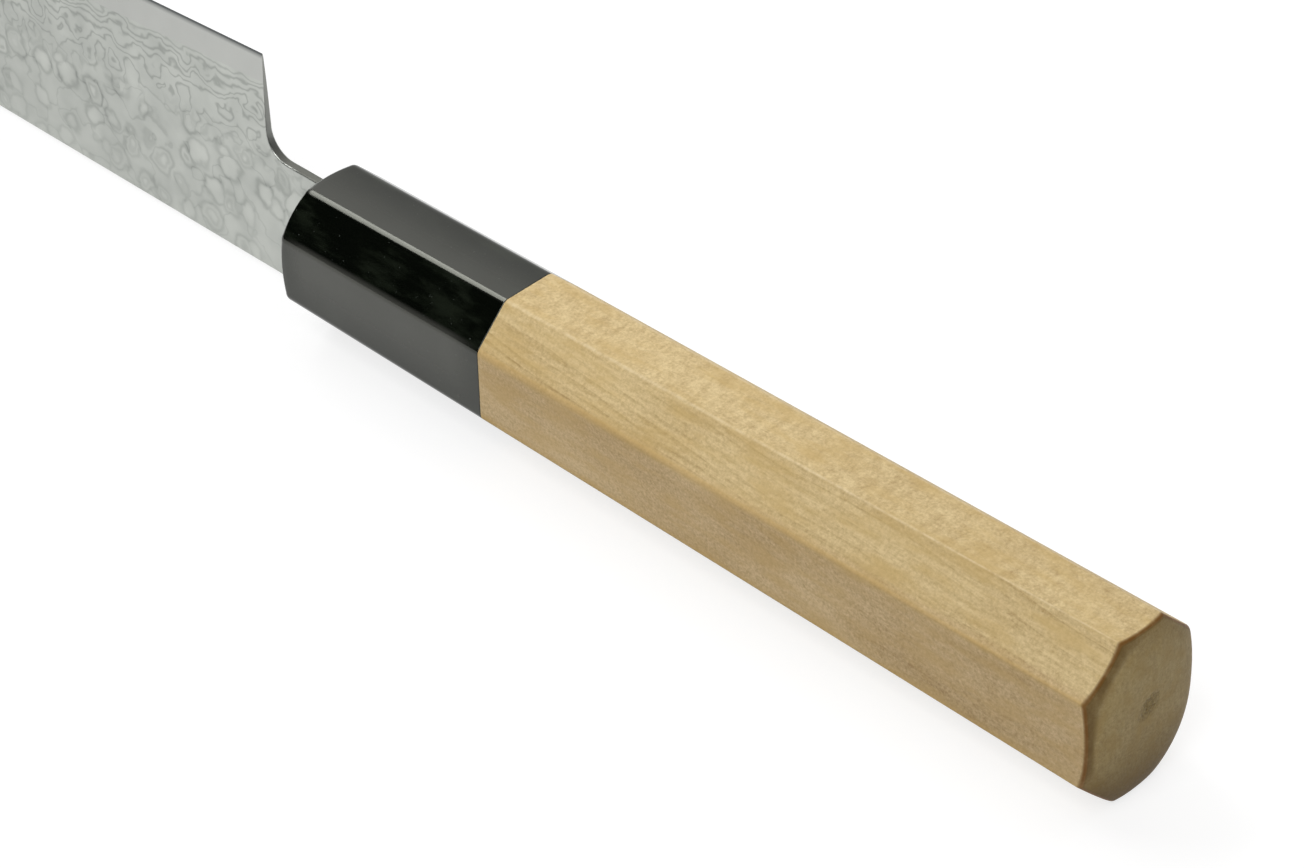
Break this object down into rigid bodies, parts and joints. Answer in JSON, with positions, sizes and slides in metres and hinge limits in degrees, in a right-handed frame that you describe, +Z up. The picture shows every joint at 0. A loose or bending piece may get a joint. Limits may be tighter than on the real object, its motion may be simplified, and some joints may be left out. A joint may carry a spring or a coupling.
{
  "type": "petty knife",
  "caption": "Small straight kitchen knife with a layered steel blade, a black horn ferrule and an octagonal pale wooden handle, for paring and trimming.",
  "frame": {"origin": "middle of the bounding box's footprint, on the surface that the knife stands on, back down and edge up as pictured", "axes": "+X along the handle from the blade to the butt, so the point is towards -X; -Y out of the pictured right face of the blade; +Z up, from the spine to the cutting edge"},
  "size_m": [0.2876, 0.0174, 0.033],
  "materials": {
    "core_steel": "satin hard steel along the cutting edge",
    "cladding_steel": "etched satin layered steel with fine grey contour lines",
    "horn": "polished black horn",
    "handle_wood": "sanded pale magnolia, bare",
    "resin": "set resin"
  },
  "bodies": {
    "root": {"blade_core": "core_steel", "blade_cladding_right": "cladding_steel", "blade_cladding_left": "cladding_steel", "ferrule": "horn", "handle_body": "handle_wood", "tang_bedding": "resin"}
  },
  "joints": []
}
